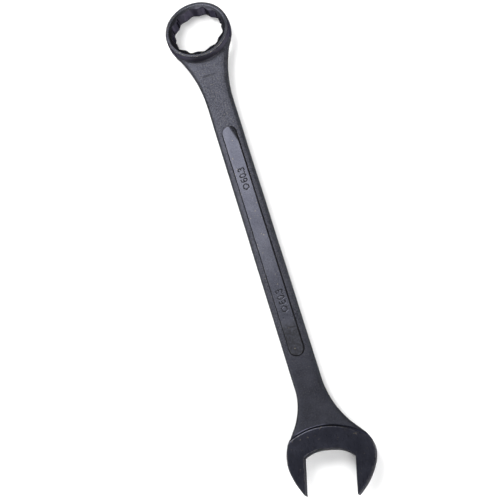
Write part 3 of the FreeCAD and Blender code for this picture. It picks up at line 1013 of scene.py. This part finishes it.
def panel_steel():
    """Black oxide over a belt-ground boss, still rough towards its open end."""
    s = Shader("black_oxide_panel", "panel_steel")
    rough_end = s.remap(s.along(), PANEL_HIGH[0] - 50, PANEL_HIGH[0] - 34)
    broad = s.noise(0.04, 3, stretch=(1, 2, 1), shift=3)
    belt = s.noise(1.0, 3, stretch=(2.2, 0.35, 1), shift=13)
    mottle = s.noise(0.30, 3, shift=29)
    fine = s.noise(1.7, 2, shift=41)
    specks = s.remap(s.noise(0.38, 2, shift=61), 0.71, 0.76)
    wear = s.times(s.attribute("edge_wear"), s.remap(s.noise(0.2, 3), 0.35, 0.6))
    dull = s.times(rough_end, s.remap(mottle, 0.35, 0.6, 0.3, 0.8))
    colour = s.mix(s.remap(broad, 0.3, 0.7), grey(0.028, 0.36), grey(0.040, 0.28))
    colour = s.mix(s.remap(belt, 0.35, 0.7, 0.0, 0.5), colour, grey(0.046, 0.26))
    colour = s.mix(dull, colour, grey(0.018, 0.1))
    colour = s.mix(s.times(specks, 0.7), colour, PANEL_SPECK)
    colour = s.mix(s.times(wear, 0.35), colour, grey(0.075, 0.03))
    # painted shade: where the belt missed the panel, its drafted sides most, it goes near black
    colour = s.mix(s.times(s.attribute("unground_and_shade"), 0.9), colour, grey(0.006, 0.1))
    # painted shade: the panel's foot and the stamped strokes go near black by the hollow attribute
    colour = s.mix(s.times(s.attribute("hollow"), 0.85), colour, grey(0.005, 0.1))
    rough = s.plus(s.remap(belt, 0.3, 0.7, 0.26, 0.34), s.times(rough_end, 0.12))
    height = s.plus(s.times(belt, 0.022), s.times(fine, 0.012))
    rugged = s.times(s.times(rough_end, mottle), 0.35)
    return s.finish(colour, 0.8, rough, s.plus(height, rugged))


def floor_paint():
    """Plain pale paint, which the lights take to white."""
    s = Shader("pale_floor", "")
    tone = s.mix(s.noise(0.004, 2), (0.92, 0.92, 0.92, 1), (0.94, 0.94, 0.94, 1))
    s.link(tone, s.shader.inputs["Base Color"])
    s.shader.inputs["Roughness"].default_value = 0.8
    return s.material


# ---- the wrench -------------------------------------------------------------
BOX_NECK_CELL = (0.55, 0.55, 0.5)    # sizes of the meshing cells
SHANK_CELL = (0.95, 0.6, 0.55)
OPEN_NECK_CELL = (0.6, 0.6, 0.55)
HEAD_CELL = (0.5, 0.5, 0.5)
JAW_INNER = 6.0                      # a jaw's mesh starts this far off the jaw axis
TOWARDS_OPEN = (1, 0, 0)
TOWARDS_BOX = (-1, 0, 0)


def jaw_piece(name, side, low, high, material, cuts):
    """One jaw: the open end's field with the other jaw left out."""
    def one_side(points):
        away = (points[:, :2] - JAW_CENTRE) @ JAW_SIDE
        return np.maximum(open_end_field(points), JAW_INNER - side * away)
    field_piece(name, one_side, low, high, HEAD_CELL, material, cuts)


def build_box_neck(material):
    """Meshed a little past its seam with the shank, then cut back to it."""
    reach = RING_MID_R + 3
    low = (NECK_LOW[0] - 12, -reach, -SHANK_TOP - 4)
    high = (BOX_SEAM + 3, reach, SHANK_TOP + 6)
    cuts = [((BOX_SEAM, 0, 0), TOWARDS_OPEN, 0)]
    field_piece("box_neck", box_neck_field, low, high, BOX_NECK_CELL, material, cuts)


def build_shank(material):
    low = (BOX_SEAM - 3, -SHANK_HALF - 2, -SHANK_TOP - 2)
    high = (OPEN_SEAM + 3, SHANK_HALF + 2, SHANK_TOP + 2)
    cuts = [((BOX_SEAM, 0, 0), TOWARDS_BOX, 0), ((OPEN_SEAM, 0, 0), TOWARDS_OPEN, 0)]
    field_piece("shank", shank_field, low, high, SHANK_CELL, material, cuts)


def build_open_neck(material):
    wide = cad_high.y / MM + 4
    low = (OPEN_SEAM - 3, -wide, -SHANK_TOP - 2)
    high = (HEAD_BACK_CENTRE[0] - 30, wide, SHANK_TOP + 2)
    cuts = [((OPEN_SEAM, 0, 0), TOWARDS_BOX, 0)]
    field_piece("open_neck", open_neck_field, low, high, OPEN_NECK_CELL, material, cuts)


def build_open_end(material):
    """Head and two jaws, cut apart across the jaw axis at the throat's corners."""
    wide = cad_high.y / MM + 4
    low = (HEAD_LOW[0] - 6, -wide, -HEAD_TOP - 1.5)
    high = (cad_high[0] / MM + 2, wide, HEAD_TOP + 1.5)
    forward = (*JAW_DIR, 0)
    backward = (*-JAW_DIR, 0)
    upper_plane = (*jaw_point(UPPER["corner"], 0), 0)
    lower_plane = (*jaw_point(LOWER["corner"], 0), 0)
    head_cuts = [(upper_plane, forward, 1), (lower_plane, forward, -1)]
    field_piece("open_head", open_end_field, low, high, HEAD_CELL, material, head_cuts)
    jaw_piece("upper_jaw", 1, low, high, material, [(upper_plane, backward, 0)])
    jaw_piece("lower_jaw", -1, low, high, material, [(lower_plane, backward, 0)])


def build_wrench():
    forged = forged_steel()
    ground = ground_steel()
    panel = panel_steel()
    ring_piece(ground)
    build_box_neck(forged)
    build_shank(forged)
    panel_piece("raised_panel_front", 1, panel)
    panel_piece("raised_panel_rear", -1, panel)
    build_open_neck(forged)
    build_open_end(ground)


# ---- stage ------------------------------------------------------------------
CAMERA_AT = Vector((0.78586, 0.13079, 1.68228))
CAMERA_BACK = Vector((0.27818, 0.08534, 0.95673))
CAMERA_UP = Vector((-0.91757, 0.31817, 0.23841))
CAMERA_LENS = 102.91

# name, place, size and watts; the fills aim at the middle of the wrench
SOFTBOX_AIM = Vector((0.15, 0, 0))
SOFTBOX = ("softbox", (-0.95, -0.48, 1.9), (0.9, 1.4), 53)
FILLS = [
    ("left_fill", (0.3, -2.3, 1.4), (2.0, 1.2), 46),
    ("right_fill", (0.3, 2.4, 1.7), (2.0, 1.2), 36),
    ("low_fill", (2.6, 0.6, 1.0), (1.0, 2.0), 40),
    ("front_fill", (1.8, 0.3, 2.1), (0.9, 1.6), 26)]
WORLD_STRENGTH = 0.15
FLOOR_R = 6.0
FLOOR_GAP = 0.0004


def add_camera():
    camera = bpy.data.cameras.new("camera")
    camera.lens = CAMERA_LENS
    camera.sensor_width = 36
    camera.clip_end = 50
    holder = bpy.data.objects.new("camera", camera)
    bpy.context.scene.collection.objects.link(holder)
    back = CAMERA_BACK.normalized()
    right = CAMERA_UP.cross(back).normalized()
    up = back.cross(right)
    turn = Matrix((right, up, back)).transposed().to_4x4()
    holder.matrix_world = Matrix.Translation(CAMERA_AT) @ turn
    bpy.context.scene.camera = holder


def add_light(aim, name, at, size, power):
    light = bpy.data.lights.new(name, "AREA")
    light.shape = "RECTANGLE"
    light.size, light.size_y = size
    light.energy = power
    holder = bpy.data.objects.new(name, light)
    bpy.context.scene.collection.objects.link(holder)
    holder.location = at
    holder.rotation_mode = "QUATERNION"
    holder.rotation_quaternion = (aim - Vector(at)).to_track_quat("-Z", "Y")


def add_world():
    world = bpy.data.worlds.new("studio")
    world.use_nodes = True
    background = world.node_tree.nodes["Background"]
    background.inputs["Color"].default_value = (1, 1, 1, 1)
    background.inputs["Strength"].default_value = WORLD_STRENGTH
    bpy.context.scene.world = world


def add_floor(middle):
    mesh = bpy.data.meshes.new("floor")
    work = bmesh.new()
    bmesh.ops.create_circle(work, cap_ends=True, segments=96, radius=FLOOR_R)
    work.to_mesh(mesh)
    work.free()
    mesh.materials.append(floor_paint())
    floor = bpy.data.objects.new("floor", mesh)
    bpy.context.scene.collection.objects.link(floor)
    floor.location = (middle.x, middle.y, cad_low.z - FLOOR_GAP)


def add_stage():
    middle = (cad_low + cad_high) / 2
    add_light(SOFTBOX_AIM, *SOFTBOX)
    for fill in FILLS:
        add_light(middle, *fill)
    add_world()
    add_floor(middle)
    bpy.context.scene.view_settings.view_transform = "Standard"


build_wrench()
add_camera()
add_stage()
